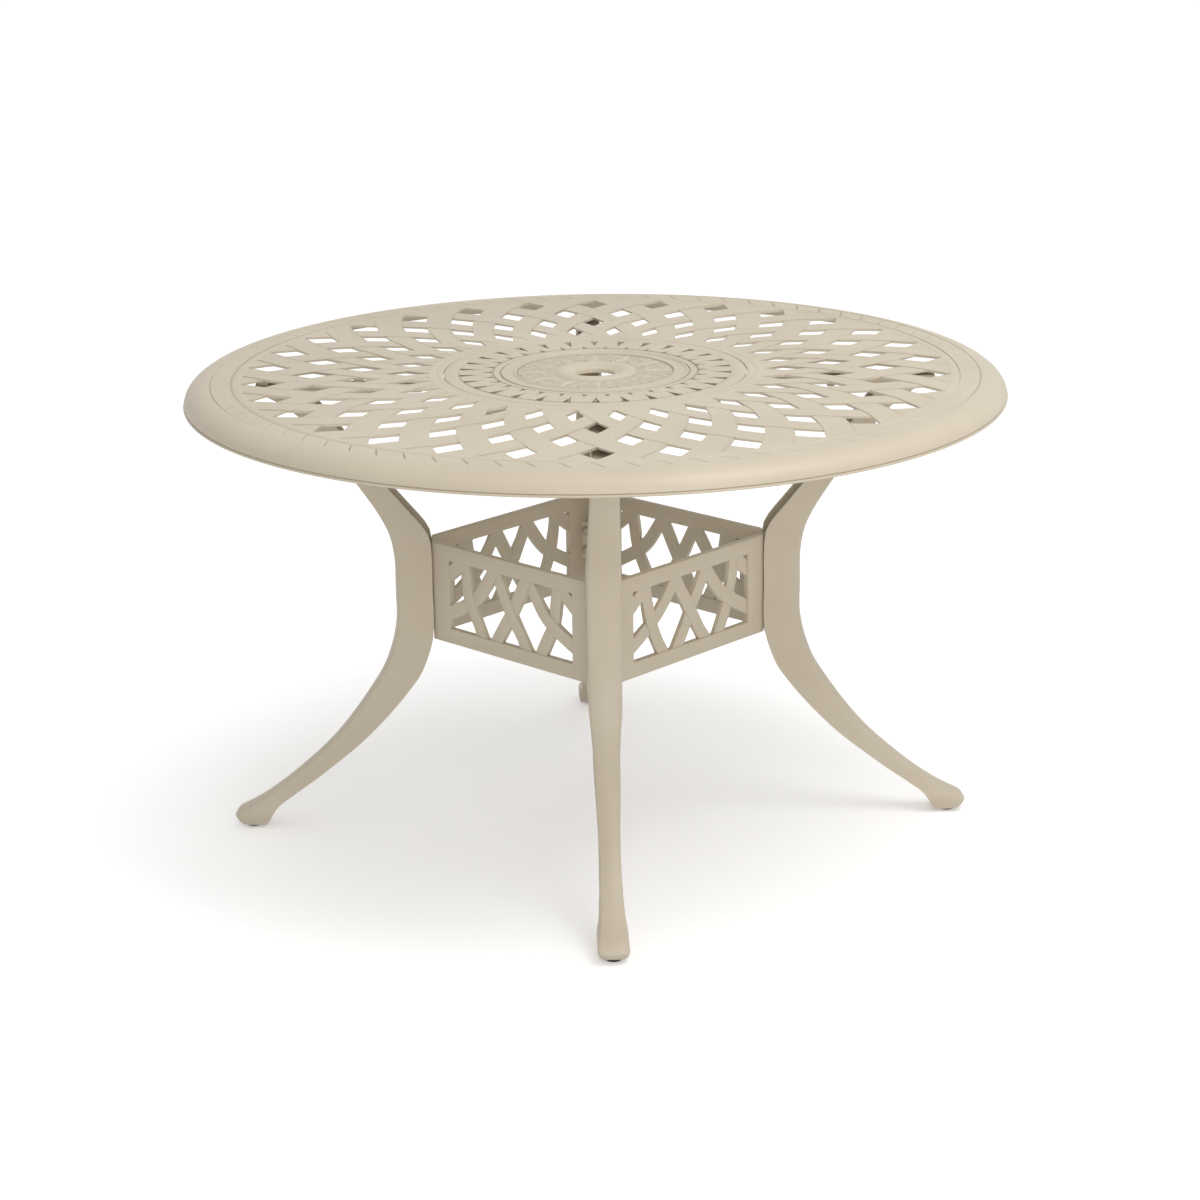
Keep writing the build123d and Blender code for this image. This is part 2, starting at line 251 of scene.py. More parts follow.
def weaveStrip(bm, row):
    d = latticeData
    column = 0.0 if row % 2 == 0 else 0.5
    lean = 1 if row % 2 == 0 else -1
    verts = startSheet(bm, *d["steps"])
    bmesh.ops.scale(bm, vec=(d["reach"], d["halfBand"], 1), verts=verts)
    for radius, outer in ((d["innerCut"], False), (d["outerCut"], True)):
        at = (radius - d["firstRowRadius"]) / d["rowPitch"] - row
        bmesh.ops.bisect_plane(
            bm, geom=bm.verts[:] + bm.edges[:] + bm.faces[:], dist=1e-6,
            plane_co=(at, at, 0), plane_no=(1, 1, 0), clear_outer=outer, clear_inner=not outer,
        )
    topFaces = bm.faces[:]
    made = bmesh.ops.extrude_face_region(bm, geom=topFaces)
    lower = [g for g in made["geom"] if isinstance(g, bmesh.types.BMVert)]
    bmesh.ops.translate(bm, vec=(0, 0, -1), verts=lower)
    for v in bm.verts:
        along, across, below = v.co
        height = d["middleHeight"] + d["relief"] * math.cos(math.pi * along / 2)
        height -= d["crown"] * (across / d["halfBand"]) ** 2
        if below < 0:
            height = d["underside"] + lean * d["undersideStep"]
            across *= d["draft"]
        radius = d["firstRowRadius"] + d["rowPitch"] * (row + (along + across) / 2)
        angle = math.radians(d["turn"] + 360 / d["columns"] * (column + lean * (along - across) / 4))
        v.co = Vector((radius * math.cos(angle), radius * math.sin(angle), height)) * mm
    topSet = set(topFaces)
    rims = {e for f in topFaces for e in f.edges if sum(g in topSet for g in e.link_faces) == 1}
    roundEdges(bm, list(rims), d["edgeRound"], 2)
    repeatRound(bm, bm.verts[:] + bm.edges[:] + bm.faces[:], d["columns"])


bm = bmesh.new()
for row in latticeData["rows"]:
    rowMesh = bpy.data.meshes.new("weaveRow")
    rowBm = bmesh.new()
    weaveStrip(rowBm, row)
    rowBm.to_mesh(rowMesh)
    rowBm.free()
    bm.from_mesh(rowMesh)
    bpy.data.meshes.remove(rowMesh)
wovenLattice = finishPiece("wovenLattice", bm, topCoat, "table")


# ring castings beside the weave: bead, rope bed, rolled rim with its lip, and the inner ring
ringData = {
    "beadMiddle": 531.2,
    "beadHalf": 6.6,
    "beadRise": 1.5,
    "bedHeight": 707.6,
    "rollFrom": 570.5,
    "rollTop": 710.3,
    "rollWidth": 38.3,
    "rollDrop": 27,
    "steps": 180,
}
d = ringData
outerOutline = [(523.5, 706), (523.5, 709)]
outerOutline += arcPoints((d["beadMiddle"], 709.3), d["beadHalf"], d["beadRise"], 180, 0, 8)
outerOutline += [(539.2, 708.9), (541, d["bedHeight"]), (568.2, d["bedHeight"])]
outerOutline += [(569.6, 708.9)]
rollMiddle = (d["rollFrom"], d["rollTop"] - d["rollDrop"])
outerOutline += arcPoints(rollMiddle, d["rollWidth"], d["rollDrop"], 90, 4, 14)
outerOutline += [(607.0, 684.0), (607.2, 683.4)]
outerOutline += arcPoints((607.9, 681.7), 1.9, 1.9, 110, -90, 6)
outerOutline += [(604.5, 679.8), (602.5, 684.5), (592, 695.5), (578, 703.2), (568, 706)]
innerOutline = [
    (226.2, 706), (226.2, 708.9), (227.0, 709.9), (229.0, 710.4), (236.2, 710.5), (237.0, 710.1),
    (237.8, 710.5), (245.6, 710.5), (248.4, 710.1), (250.2, 709.0), (250.2, 706),
]
bm = bmesh.new()
spinRing(bm, outerOutline, d["steps"])
spinRing(bm, innerOutline, d["steps"])
ringCasting = finishPiece("ringCasting", bm, topCoat, "table", 28)
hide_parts("table_top")


# rope moulding: slanted strands with a thin groove between each two
ropeData = {
    "strands": 78,
    "inner": 540,
    "outer": 569,
    "slant": 2.2,  # degrees over the width
    "height": 710.35,
    "swell": 0.7,
    "groove": 2.5,
    "grooveEdge": 30,  # how steeply the groove falls
    "grooveBow": 0.4,
    "lineBunch": 0.16,  # gathers the mesh lines beside the groove
    "grooveShadeFrom": 0.75,
    "grooveShadeWithin": 0.8,
    "foot": 707.0,
    "steps": (8, 6),
}
d = ropeData
bm = bmesh.new()
verts = startSheet(bm, *d["steps"])
# painted shade: the faces beside each groove take the darker coat
for f in facesOf(verts):
    middle = f.calc_center_median()
    f.material_index = int(abs(middle.x) > d["grooveShadeFrom"] and abs(middle.y) < d["grooveShadeWithin"])
for v in verts:
    share = (v.co.y + 1) / 2
    bow = math.sin(math.pi * share)
    radius = d["inner"] + (d["outer"] - d["inner"]) * share
    spread = math.copysign(abs(v.co.x) ** d["lineBunch"], v.co.x)
    angle = math.radians(360 / d["strands"] * spread / 2 + d["slant"] * share - 90)
    height = d["height"] - d["swell"] * (1 - bow)
    height -= d["groove"] * abs(spread) ** d["grooveEdge"] * bow ** d["grooveBow"]
    v.co = Vector((radius * math.cos(angle), radius * math.sin(angle), height)) * mm
made = bmesh.ops.extrude_face_region(bm, geom=facesOf(verts))
for item in made["geom"]:
    if isinstance(item, bmesh.types.BMVert):
        item.co.z = d["foot"] * mm
repeatRound(bm, bm.verts[:] + bm.edges[:] + bm.faces[:], d["strands"])
ropeMoulding = finishPiece("ropeMoulding", bm, topCoat, "table", 50)
ropeMoulding.data.materials.append(bedPaintedShadeCoat)


# bosses under the plate, one pair above each arm
bossData = {
    "middles": ((352, 0), (492, 0), (0, 282), (0, 422)),
    "half": 7,
    "low": 698,
    "high": 706.5,
    "round": 1.2,
}
d = bossData
bm = bmesh.new()
for x, y in d["middles"]:
    half = d["half"]
    roundedBlock(bm, (x - half, y - half, d["low"]), (x + half, y + half, d["high"]), d["round"])
repeatRound(bm, bm.verts[:] + bm.edges[:] + bm.faces[:], 2)
legBosses = finishPiece("legBosses", bm, topCoat, "table")
print("top ready")


# turning disc: turned plate with ring lines, collar and funnel
discData = {
    "relief": 708.9,
    "band": 703.6,
    "bedFrom": 62,
    "bedTo": 115,
    "bedAbove": 705,
    "steps": 144,
}
d = discData
discOutline = [(30.5, 699.8), (30.5, 705.5), (33.4, 706.2), (36.8, 708.4), (40.6, 710.6)]
discOutline += [(45.0, 712.0), (49.4, 712.5)]
discOutline += [(54.0, 712.0), (57.6, 710.9), (59.8, 709.6), (60.8, 708.7), (62.0, d["relief"])]
discOutline += [(115.0, d["relief"]), (115.5, 707.2), (116.9, 707.2), (117.4, 709.9), (119.4, 710.5)]
discOutline += [(121.4, 709.9), (122.2, 708.9), (134.4, 708.9), (135.2, 709.9), (137.4, 710.5)]
discOutline += [(139.6, 709.9), (140.2, 707.2), (141.8, 707.2), (142.4, 709.4)]
discOutline += [(151.2, 709.8), (152.0, 707.6), (153.8, 707.6), (154.6, 709.2), (154.6, d["band"])]
discOutline += [(202.6, d["band"]), (202.6, 709.2), (203.4, 708.8), (204.6, 708.9), (206.0, 709.8)]
discOutline += [(208.0, 710.3), (221.5, 710.3), (224.0, 709.7), (225.0, 708.6), (225.0, 702.8)]
discOutline += [(39.0, 702.8), (39.0, 699.8)]
bm = bmesh.new()
spinRing(bm, discOutline, d["steps"])
for f in bm.faces:
    middle = f.calc_center_median() / mm
    paintedShadeBed = d["bedFrom"] < middle.xy.length < d["bedTo"] and middle.z > d["bedAbove"]
    f.material_index = int(paintedShadeBed)  # painted shade: a darker coat under the relief
turnedDisc = finishPiece("turnedDisc", bm, discCoat, "lazy_susan", 30)
turnedDisc.data.materials.append(bedPaintedShadeCoat)
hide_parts("lazy_susan_disc")


# band of the disc where the weave runs out: notches at the outer edge, darts between them inside
notchData = {
    "count": 30,
    "turn": -91.3,
    "radii": (154.5, 158, 162, 166, 170, 176, 182, 188, 194, 199, 202.7),
    "notchApex": 170,
    "notchHalf": 6.2,
    "dartApex": 169,
    "dartHalf": 4.0,
    "tip": 0.35,
    "top": 709.75,
    "crown": 0.7,
    "foot": 703.4,
    "notchDepth": 5.4,
    "dartDepth": 1.6,
    "paintedShadeFrom": 184,
}
d = notchData


def notchBand(bm):
    radii = d["radii"]
    sector = math.radians(180 / d["count"])
    verts = startSheet(bm, 7, len(radii) - 1)
    for v in verts:
        radius = radii[round((v.co.y + 1) / 2 * (len(radii) - 1))]
        column = round((v.co.x + 1) / 2 * 7) - 3.5
        side = math.copysign(1, column)
        notch = (radius - d["notchApex"]) / (radii[-1] - d["notchApex"])
        notch = d["tip"] + (d["notchHalf"] - d["tip"]) * max(0, notch) ** 1.3
        dart = (d["dartApex"] - radius) / (d["dartApex"] - radii[0])
        dart = d["tip"] + (d["dartHalf"] - d["tip"]) * max(0, dart)
        lines = {0.5: notch / radius, 1.5: 0, 2.5: sector - dart / radius, 3.5: sector}
        lines[1.5] = (lines[0.5] + lines[2.5]) / 2
        angle = math.radians(d["turn"]) + side * lines[abs(column)]
        rise = d["crown"] if abs(column) == 1.5 else 0
        v.co = Vector((radius * math.cos(angle), radius * math.sin(angle), d["top"] + rise)) * mm
    topFaces = facesOf(verts)
    notches, darts = [], []
    for f in topFaces:
        middle = f.calc_center_median()
        radius = middle.xy.length / mm
        angle = abs(math.atan2(middle.y, middle.x) - math.radians(d["turn"]))
        if angle < 0.1 * sector and radius > d["notchApex"]:
            notches.append(f)
        if angle > sector - 0.6 * d["dartHalf"] / radius and radius < d["dartApex"]:
            darts.append(f)
    made = bmesh.ops.extrude_face_region(bm, geom=topFaces, use_keep_orig=True)
    for item in made["geom"]:
        if isinstance(item, bmesh.types.BMVert):
            item.co.z = d["foot"] * mm
    for faces, depth in ((notches, d["notchDepth"]), (darts, d["dartDepth"])):
        pit = bmesh.ops.extrude_face_region(bm, geom=faces)
        floorVerts = [g for g in pit["geom"] if isinstance(g, bmesh.types.BMVert)]
        bmesh.ops.delete(bm, geom=faces, context="FACES_ONLY")
        apex, wide = (d["notchApex"], radii[-1]) if faces is notches else (d["dartApex"], radii[0])
        for v in floorVerts:
            share = (v.co.xy.length / mm - apex) / (wide - apex)
            v.co.z -= depth * mm * (0.25 + 0.75 * min(1, max(0, share)))  # deepest at the wide end
        # painted shade on the outer part of each notch floor
        for f in facesOf(floorVerts):
            f.material_index = int(f.calc_center_median().xy.length > d["paintedShadeFrom"] * mm)
    repeatRound(bm, bm.verts[:] + bm.edges[:] + bm.faces[:], d["count"])


bm = bmesh.new()
notchBand(bm)
weaveBand = finishPiece("weaveBand", bm, discCoat, "lazy_susan", 40)
weaveBand.data.materials.append(recessPaintedShadeCoat)


# leaf and scroll relief round the collar, a common garden-furniture pattern
leafData = {
    "count": 12,
    "middleRadius": 90,
    "halfLength": 24,
    "halfWidth": 9,
    "taper": 0.55,
    "bend": (4, 0.3),
    "rib": (0.55, 0.45, 4.5),
    "rise": 3.0,
    "base": 708.4,
    "scrollRadius": 7.5,
    "scrollTube": 2.7,
    "scrollAt": 103,
    "innerScrollAt": 75,
}
d = leafData


def addLeaf(bm):
    verts = bmesh.ops.create_uvsphere(bm, u_segments=12, v_segments=8, radius=1)["verts"]
    for v in verts:
        taper = 1 - d["taper"] * v.co.x  # wide near the collar, pointed outwards
        level, swing, pace = d["rib"]
        rib = level + swing * math.cos(v.co.y * pace)
        bend, middle = d["bend"]
        across = d["halfWidth"] * v.co.y * taper + bend * (v.co.x ** 2 - middle)
        radius = d["middleRadius"] + d["halfLength"] * v.co.x
        height = d["base"] + d["rise"] * v.co.z * rib
        v.co = Vector((radius, across, height)) * mm


def addScroll(bm, radius, size, start, sweep, across):
    made = bmesh.ops.create_circle(bm, segments=8, radius=d["scrollTube"] * mm)
    verts = made["verts"]
    bmesh.ops.rotate(bm, verts=verts, matrix=Matrix.Rotation(math.pi / 2, 3, "X"))
    bmesh.ops.scale(bm, vec=(1, 1, 0.7), verts=verts)
    bmesh.ops.translate(bm, vec=(size * mm, 0, 0), verts=verts)
    edges = list({e for v in verts for e in v.link_edges})
    before = set(bm.verts) - set(verts)
    bmesh.ops.spin(
        bm, geom=list(verts) + edges, cent=(0, 0, 0), axis=(0, 0, 1), angle=math.radians(sweep), steps=14
    )
    tube = [v for v in bm.verts if v not in before]
    ends = [e for e in bm.edges if e.is_boundary and e.verts[0] in tube]
    bmesh.ops.holes_fill(bm, edges=ends, sides=8)
    bmesh.ops.rotate(bm, verts=tube, matrix=Matrix.Rotation(math.radians(start), 3, "Z"))
    bmesh.ops.translate(bm, vec=(radius * mm, across * mm, d["base"] * mm), verts=tube)


bm = bmesh.new()
addLeaf(bm)
addScroll(bm, d["scrollAt"], d["scrollRadius"], 60, 270, 24)
addScroll(bm, d["innerScrollAt"], d["scrollRadius"] * 0.7, 240, 250, 17)
repeatRound(bm, bm.verts[:] + bm.edges[:] + bm.faces[:], d["count"])
leafRelief = finishPiece("leafRelief", bm, discCoat, "lazy_susan", 50)
print("disc ready")


# legs: crowned channel castings, swept between an outer and an inner edge
legData = {
    "outerTop": [(506, 690), (468, 670), (430, 637), (352, 532), (318, 473), (308.5, 430), (308, 379)],
    "innerTop": [(430, 686), (407.6, 662), (327.3, 557), (285, 506), (256, 468), (251.1, 440), (251.1, 379)],
    "outerFoot": [
        (308, 379), (308.5, 328), (319, 282), (338, 240), (404, 150), (476, 83), (527, 45.5), (558, 28.5),
        (567, 23), (568, 16), (563, 9), (554, 5),
    ],
    "innerFoot": [
        (251.1, 379), (251.1, 318), (258, 283), (279, 236), (355, 147), (430, 84.5), (484, 46), (500, 34),
        (509, 22), (516, 9), (520, 5),
    ],
    "widths": [
        (0, 34), (8, 41), (22, 45), (40, 37), (62, 33), (110, 30.5), (210, 38), (300, 49), (456, 50),
        (684, 38),
    ],
    "topSteps": 26,
    "footSteps": 48,
    "columns": 20,
    "cornerRound": 7,
    "crown": 2.6,
    "wall": 5,
    "webSteps": (21, 33),
    "footFill": (60, 74),
    "fillInset": 0.6,
    "footPad": ((518, -16, 5), (556, 16, 10)),
    "padRound": 1.5,
}


def channelPoint(share, halfWidth, depth):
    d = legData
    corner = min(d["cornerRound"], halfWidth * 0.45)
    side = math.copysign(1, share)
    m = abs(share)
    if m > 0.6:
        return side * halfWidth, d["crown"] + corner + (m - 0.6) / 0.4 * (depth - d["crown"] - corner)
    if m > 0.3:
        turn = (m - 0.3) / 0.3 * math.pi / 2
        return side * (halfWidth - corner * (1 - math.sin(turn))), d["crown"] + corner * (1 - math.cos(turn))
    return side * (halfWidth - corner) * m / 0.3, d["crown"] * (m / 0.3) ** 2


def legStations():
    d = legData
    outer = smoothPath(d["outerTop"], d["topSteps"]) + smoothPath(d["outerFoot"], d["footSteps"])[1:]
    inner = smoothPath(d["innerTop"], d["topSteps"]) + smoothPath(d["innerFoot"], d["footSteps"])[1:]
    return list(zip(outer, inner))


def buildLeg(bm):
    d = legData
    stations = legStations()
    last = len(stations) - 1
    verts = startSheet(bm, d["columns"], last)
    for v in verts:
        outer, inner = stations[round((1 - v.co.y) / 2 * last)]
        halfWidth = steadyValue(d["widths"], (outer.y + inner.y) / 2) / 2
        across, deep = channelPoint(v.co.x, halfWidth, (inner - outer).length)
        at = outer + (inner - outer).normalized() * deep
        v.co = Vector((at.x, across, at.y)) * mm
    for start, end in (d["webSteps"], d["footFill"]):
        fill = startSheet(bm, 4, end - start)
        for v in fill:
            outer, inner = stations[round(start + (1 - v.co.y) / 2 * (end - start))]
            halfWidth = steadyValue(d["widths"], (outer.y + inner.y) / 2) / 2 - 1
            at = inner - (inner - outer).normalized() * d["fillInset"]
            v.co = Vector((at.x, v.co.x * halfWidth, at.y)) * mm
    bmesh.ops.recalc_face_normals(bm, faces=bm.faces)
    for f in bm.faces:
        middle = f.calc_center_median()
        near = min(stations, key=lambda s: (Vector((middle.x, middle.z)) / mm - (s[0] + s[1]) / 2).length)
        core = (near[0] + near[1]) / 2 * mm
        if f.normal.dot(middle - Vector((core.x, 0, core.y))) < 0:
            f.normal_flip()
    bmesh.ops.solidify(bm, geom=bm.faces[:], thickness=d["wall"] * mm)
    roundedBlock(bm, *d["footPad"], d["padRound"])


armData = {"inner": 257, "outer": 506, "half": 19, "low": 686, "high": 698, "round": 2.2}
legPlaces = (("frontLeg", "leg_front", -90), ("rightLeg", "leg_right", 0), ("backLeg", "leg_back", 90),
             ("leftLeg", "leg_left", 180))
for name, node, turn in legPlaces:
    bm = bmesh.new()
    buildLeg(bm)
    d = armData
    roundedBlock(bm, (d["inner"], -d["half"], d["low"]), (d["outer"], d["half"], d["high"]), d["round"])
    for f in bm.faces:
        f.material_index = int(f.calc_center_median().z > (d["high"] - 1) * mm)  # painted shade on the top of the arm
    bmesh.ops.rotate(bm, verts=bm.verts, matrix=Matrix.Rotation(math.radians(turn), 3, "Z"))
    leg = finishPiece(name, bm, legCoat, "table", 35)
    leg.data.materials.append(recessPaintedShadeCoat)
    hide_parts(node)
print("legs ready")


# side panels: mitred frame with bars that pass over and under each other
panelData = {
    "face": 191.66,
    "thickness": 11,
    "halfLength": 163.3,
    "low": 302.2,
    "high": 456.2,
    "rail": 23.5,
    "openHalf": 127.9,
    "frameRound": 1.6,
    "barHalf": 10.2,
    "barDepth": 7,
    "backStep": 0.15,  # keeps crossing bars from sharing a plane
    "barInset": 2.2,
    "barRelief": 1.1,
    "barCrown": 0.4,
    "barRound": 0.9,
    "rowStep": 37,
    "bars": (
        ((-99.5, 442), (-96, 424), (-87, 377), (-66, 333), (-58, 317)),
        ((-38, 442), (-32, 431), (-3, 379), (27, 331), (36, 317)),
        ((30, 442), (38, 428), (72.5, 384), (122, 353), (136, 346)),
        ((90, 442), (103, 431), (124, 414), (136, 405)),
    ),
    "lug": (237, 251, 2, 20, 349.2, 409.2),
    "lugRound": 1.5,
    "barSteps": (16, 2),
    "swingMiddle": 379,
}


def frameRing(bm):
    d = panelData
    verts = bmesh.ops.create_grid(bm, x_segments=1, y_segments=1, size=1)["verts"]
    middle = (d["low"] + d["high"]) / 2
    for v in verts:
        v.co = Vector((v.co.x * d["halfLength"], 0, middle + v.co.y * (d["high"] - d["low"]) / 2)) * mm
    face = verts[0].link_faces[0]
    bm.normal_update()
    bmesh.ops.inset_individual(bm, faces=[face], thickness=d["rail"] * mm, use_even_offset=True)
    for v in face.verts:
        v.co.x = math.copysign(d["openHalf"] * mm, v.co.x)
    bmesh.ops.delete(bm, geom=[face], context="FACES_ONLY")
    made = bmesh.ops.extrude_face_region(bm, geom=bm.faces[:])
    for item in made["geom"]:
        if isinstance(item, bmesh.types.BMVert):
            item.co.y = -d["thickness"] * mm
            if abs(item.co.x) > (d["openHalf"] + 1) * mm:
                item.co.x += math.copysign(d["thickness"] * mm, item.co.x)  # mitre to the leg
    bmesh.ops.recalc_face_normals(bm, faces=bm.faces)
    edges = [e for e in bm.edges if len(e.link_faces) == 2 and e.calc_face_angle() > 0.5]
    roundEdges(bm, edges, d["frameRound"], 2)


def panelBar(bm, points, side):
    d = panelData
    last = d["barSteps"][0]
    path = smoothPath([(side * s, z) for s, z in points], last)
    kept = set(bm.verts)
    verts = startSheet(bm, *d["barSteps"])
    for v in verts:
        at = round((v.co.x + 1) / 2 * last)
        ahead = path[min(at + 1, last)] - path[max(at - 1, 0)]
        square = Vector((-ahead.y, ahead.x)).normalized()
        point = path[at] + square * v.co.y * d["barHalf"]
        swing = math.cos(math.pi * (path[at].y - d["swingMiddle"]) / d["rowStep"])
        deep = d["barInset"] - side * d["barRelief"] * swing + d["barCrown"] * v.co.y ** 2
        v.co = Vector((point.x, -deep, point.y)) * mm
    faces = facesOf(verts)
    made = bmesh.ops.extrude_face_region(bm, geom=faces)
    back = [g for g in made["geom"] if isinstance(g, bmesh.types.BMVert)]
    for v in back:
        v.co.y = -(d["barInset"] + d["barDepth"] + side * d["backStep"]) * mm
    fresh = set(bm.verts) - kept
    topSet = set(faces)
    rims = [e for f in faces for e in f.edges if sum(g in topSet for g in e.link_faces) == 1]
    roundEdges(bm, [e for e in rims if e.verts[0] in fresh], d["barRound"], 2)


def buildPanel(bm):
    d = panelData
    frameRing(bm)
    for points in d["bars"]:
        panelBar(bm, points, 1)
        panelBar(bm, points, -1)
    # local x runs along the panel and y out of it
    turn = Matrix(((-math.sin(math.pi / 4), math.cos(math.pi / 4), 0),
                   (math.cos(math.pi / 4), math.sin(math.pi / 4), 0), (0, 0, 1)))
    bmesh.ops.transform(bm, matrix=turn.to_4x4(), verts=bm.verts)
    out = d["face"] * mm * math.sqrt(0.5)
    bmesh.ops.translate(bm, vec=(out, out, 0), verts=bm.verts)
    xLow, xHigh, yLow, yHigh, zLow, zHigh = d["lug"]
    roundedBlock(bm, (xLow, yLow, zLow), (xHigh, yHigh, zHigh), d["lugRound"])
    roundedBlock(bm, (yLow, xLow, zLow), (yHigh, xHigh, zHigh), d["lugRound"])


panelPlaces = (("frontRightPanel", "panel_front_right", -90), ("backRightPanel", "panel_back_right", 0),
               ("backLeftPanel", "panel_back_left", 90), ("frontLeftPanel", "panel_front_left", 180))
for name, node, turn in panelPlaces:
    bm = bmesh.new()
    buildPanel(bm)
    bmesh.ops.rotate(bm, verts=bm.verts, matrix=Matrix.Rotation(math.radians(turn), 3, "Z"))
    panel = finishPiece(name, bm, panelCoat, "table", 35)
    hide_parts(node)
print("panels ready")


# glides under the feet
glideData = {"radius": 12.8, "at": 540, "height": 5.6, "round": 1.2}
d = glideData
bm = bmesh.new()
verts = bmesh.ops.create_cone(
    bm, cap_ends=True, segments=40, radius1=d["radius"] * mm * 0.94, radius2=d["radius"] * mm,
    depth=d["height"] * mm,
)["verts"]
bmesh.ops.translate(bm, vec=(d["at"] * mm, 0, d["height"] / 2 * mm), verts=verts)
caps = [e for f in bm.faces if len(f.verts) > 4 for e in f.edges]
roundEdges(bm, caps, d["round"], 3)
repeatRound(bm, bm.verts[:] + bm.edges[:] + bm.faces[:], 4)
footGlides = finishPiece("footGlides", bm, blackNylon, "table", 40)
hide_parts("foot_glides")


# bracket: the CAD's outline with rounded edges and arms that narrow to their ends
bracketData = {"armFrom": 180, "end": 240, "narrow": 0.5, "round": 1.5}
d = bracketData
bm = bmesh.new()
bm.from_mesh(nodes["susan_bracket"].data)
bmesh.ops.transform(bm, matrix=nodes["susan_bracket"].matrix_world, verts=bm.verts)
bmesh.ops.remove_doubles(bm, verts=bm.verts, dist=1e-6)
bmesh.ops.dissolve_limit(bm, angle_limit=0.02, verts=bm.verts, edges=bm.edges)
for v in bm.verts:
    if v.co.xy.length > d["armFrom"] * mm:
        arm = math.radians(45 + 90 * (math.degrees(math.atan2(v.co.y, v.co.x)) // 90))
        ahead = Vector((math.cos(arm), math.sin(arm)))
        along = v.co.xy.dot(ahead)
        v.co.xy = ahead * min(along, d["end"] * mm) + (v.co.xy - ahead * along) * d["narrow"]
bm.normal_update()
roundEdges(bm, [e for e in bm.edges if e.calc_face_angle(0) > 0.5], d["round"], 2)
susanBracket = finishPiece("susanBracket", bm, legCoat, "table", 35)
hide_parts("susan_bracket")


# hexagon bolts and washers: arms to the top, panels to the legs, bracket to the top
boltData = {
    "head": 6.4,
    "headHeight": 4.6,
    "washer": 8.6,
    "washerHeight": 1.5,
    "endCircles": (282, 422),
    "sideCircle": 352,
    "armUnder": 686,
    "lugFace": 237,
    "lugAcross": 11,
    "lugHeights": (363, 395),
    "bracketCircle": 231,
    "bracketUnder": 686.8,
}


def addBolt(bm, place, pointing):
    d = boltData
    kept = set(bm.verts)
    disc = bmesh.ops.create_cone(
        bm, cap_ends=True, segments=24, radius1=d["washer"] * mm, radius2=d["washer"] * mm,
        depth=d["washerHeight"] * mm,
    )["verts"]
    bmesh.ops.translate(bm, vec=(0, 0, d["washerHeight"] / 2 * mm), verts=disc)
    head = bmesh.ops.create_cone(
        bm, cap_ends=True, segments=6, radius1=d["head"] * mm, radius2=d["head"] * mm,
        depth=d["headHeight"] * mm,
    )["verts"]
    bmesh.ops.translate(bm, vec=(0, 0, (d["washerHeight"] + d["headHeight"] / 2) * mm), verts=head)
    fresh = [v for v in bm.verts if v not in kept]
    sharp = list({e for v in fresh for e in v.link_edges if e.calc_face_angle(0) > 0.6})
    roundEdges(bm, sharp, 0.4, 1)
    fresh = [v for v in bm.verts if v not in kept]
    turn = Vector((0, 0, 1)).rotation_difference(Vector(pointing)).to_matrix()
    bmesh.ops.rotate(bm, verts=fresh, matrix=turn)
    bmesh.ops.translate(bm, vec=Vector(place) * mm, verts=fresh)


d = boltData
bm = bmesh.new()
for side in (1, -1):
    addBolt(bm, (side * d["sideCircle"], 0, d["armUnder"]), (0, 0, -1))
    for circle in d["endCircles"]:
        addBolt(bm, (0, side * circle, d["armUnder"]), (0, 0, -1))
kept = bm.verts[:]
for height in d["lugHeights"]:
    addBolt(bm, (d["lugFace"], d["lugAcross"], height), (-1, 0, 0))
    addBolt(bm, (d["lugFace"], -d["lugAcross"], height), (-1, 0, 0))
corner = d["bracketCircle"] * math.sqrt(0.5)
addBolt(bm, (corner, corner, d["bracketUnder"]), (0, 0, -1))
fresh = list(set(bm.verts) - set(kept))
freshEdges = list({e for v in fresh for e in v.link_edges})
repeatRound(bm, fresh + freshEdges + facesOf(fresh), 4)
frameBolts = finishPiece("frameBolts", bm, boltCoat, "table", 30)


# the pads stay as they are in the CAD
padMesh = nodes["susan_pads"].data
padMesh.materials.clear()
padMesh.materials.append(paleNylon)
print("small parts ready")


# floor, light and camera
stageData = {
    "floorHalf": 14,
    "floor": (0.90, 0.90, 0.90),
    "glow": (0.27, 0.48),
    "paintedShadowReach": (0.4, 1.0),
    "sky": 0.60,
}
d = stageData
bm = bmesh.new()
bmesh.ops.create_grid(bm, x_segments=1, y_segments=1, size=d["floorHalf"])
floorMesh = bpy.data.meshes.new("floor")
bm.to_mesh(floorMesh)
bm.free()
floor = bpy.data.objects.new("floor", floorMesh)
bpy.context.collection.objects.link(floor)


def seenDirectly(tree):
    rays = tree.nodes.new("ShaderNodeLightPath")
    total = tree.nodes.new("ShaderNodeMath")
    total.operation = "MAXIMUM"
    tree.links.new(rays.outputs["Is Camera Ray"], total.inputs[0])
    tree.links.new(rays.outputs["Is Glossy Ray"], total.inputs[1])
    both = tree.nodes.new("ShaderNodeMath")
    both.operation = "MAXIMUM"
    tree.links.new(total.outputs[0], both.inputs[0])
    tree.links.new(rays.outputs["Is Transmission Ray"], both.inputs[1])
    return both.outputs[0]


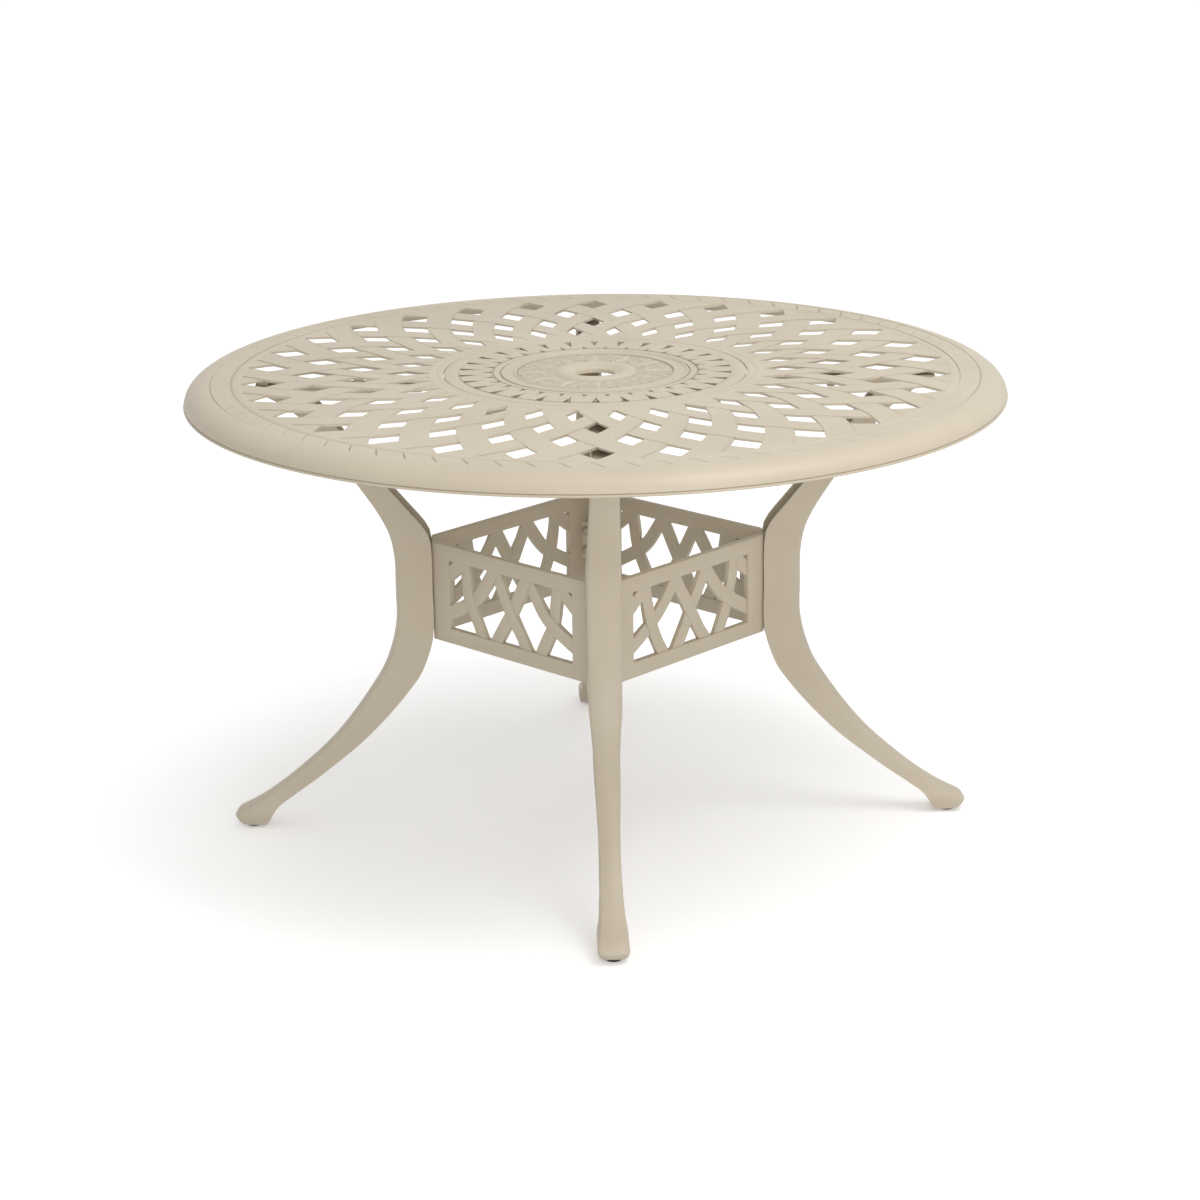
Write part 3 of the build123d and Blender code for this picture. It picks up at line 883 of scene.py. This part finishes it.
paper = bpy.data.materials.new("paperFloor")
paper.use_nodes = True
shader = paper.node_tree.nodes["Principled BSDF"]
shader.inputs["Base Color"].default_value = (*d["floor"], 1)
shader.inputs["Roughness"].default_value = 0.9
shader.inputs["Specular IOR Level"].default_value = 0.1
shader.inputs["Emission Color"].default_value = (1, 1, 1, 1)
place = paper.node_tree.nodes.new("ShaderNodeTexCoord")
away = paper.node_tree.nodes.new("ShaderNodeVectorMath")
away.operation = "LENGTH"
paper.node_tree.links.new(place.outputs["Object"], away.inputs[0])
spread = paper.node_tree.nodes.new("ShaderNodeMapRange")  # painted shadow: the paper glows less near the table, so it reads darker under it
spread.interpolation_type = "SMOOTHSTEP"
spread.inputs["From Min"].default_value = d["paintedShadowReach"][0]
spread.inputs["From Max"].default_value = d["paintedShadowReach"][1]
spread.inputs["To Min"].default_value = d["glow"][0]
spread.inputs["To Max"].default_value = d["glow"][1]
paper.node_tree.links.new(away.outputs["Value"], spread.inputs["Value"])
glow = paper.node_tree.nodes.new("ShaderNodeMath")
glow.operation = "MULTIPLY"
paper.node_tree.links.new(seenDirectly(paper.node_tree), glow.inputs[0])
paper.node_tree.links.new(spread.outputs["Result"], glow.inputs[1])
paper.node_tree.links.new(glow.outputs[0], shader.inputs["Emission Strength"])
floorMesh.materials.append(paper)

world = bpy.data.worlds.new("studio")
bpy.context.scene.world = world
world.use_nodes = True
sky = world.node_tree.nodes["Background"]
sky.inputs["Color"].default_value = (1, 1, 1, 1)
strength = world.node_tree.nodes.new("ShaderNodeMix")
strength.inputs["A"].default_value = d["sky"]
strength.inputs["B"].default_value = 1
world.node_tree.links.new(seenDirectly(world.node_tree), strength.inputs["Factor"])
world.node_tree.links.new(strength.outputs["Result"], sky.inputs["Strength"])


def addLamp(name, place, aim, size, power):
    lamp = bpy.data.lights.new(name, "AREA")
    lamp.size = size
    lamp.energy = power
    holder = bpy.data.objects.new(name, lamp)
    holder.location = place
    holder.rotation_euler = (Vector(aim) - Vector(place)).to_track_quat("-Z", "Y").to_euler()
    bpy.context.collection.objects.link(holder)


addLamp("keyLamp", (1.3, -0.9, 3.2), (0, 0, 0.6), 1.8, 43)
addLamp("fillLamp", (0.6, -5.2, 1.9), (0, 0, 0.5), 2.6, 66)

cameraData = {
    "place": (0, -4.2336, 1.6739),
    "pitch": 0.30265,
    "yaw": 0.00059,
    "roll": -0.01386,
    "lens": 87.228,
    "turn": -1.5,  # of the camera about the table's axis
}
d = cameraData
level = math.cos(d["pitch"])
ahead = Vector((math.sin(d["yaw"]) * level, math.cos(d["yaw"]) * level, -math.sin(d["pitch"])))
right = Vector((math.cos(d["yaw"]), -math.sin(d["yaw"]), 0))
up = right.cross(ahead)
rightRolled = math.cos(d["roll"]) * right + math.sin(d["roll"]) * up
upRolled = math.cos(d["roll"]) * up - math.sin(d["roll"]) * right
pose = Matrix((rightRolled, upRolled, -ahead)).transposed().to_4x4()
pose.translation = Vector(d["place"])
lens = bpy.data.cameras.new("photoCamera")
lens.sensor_width = 36
lens.sensor_fit = "HORIZONTAL"
lens.lens = d["lens"]
lens.clip_end = 60
camera = bpy.data.objects.new("photoCamera", lens)
camera.matrix_world = Matrix.Rotation(math.radians(d["turn"]), 4, "Z") @ pose
bpy.context.collection.objects.link(camera)
bpy.context.scene.camera = camera
bpy.context.scene.view_settings.view_transform = "Standard"
print("stage ready")

bpy.context.view_layer.update()
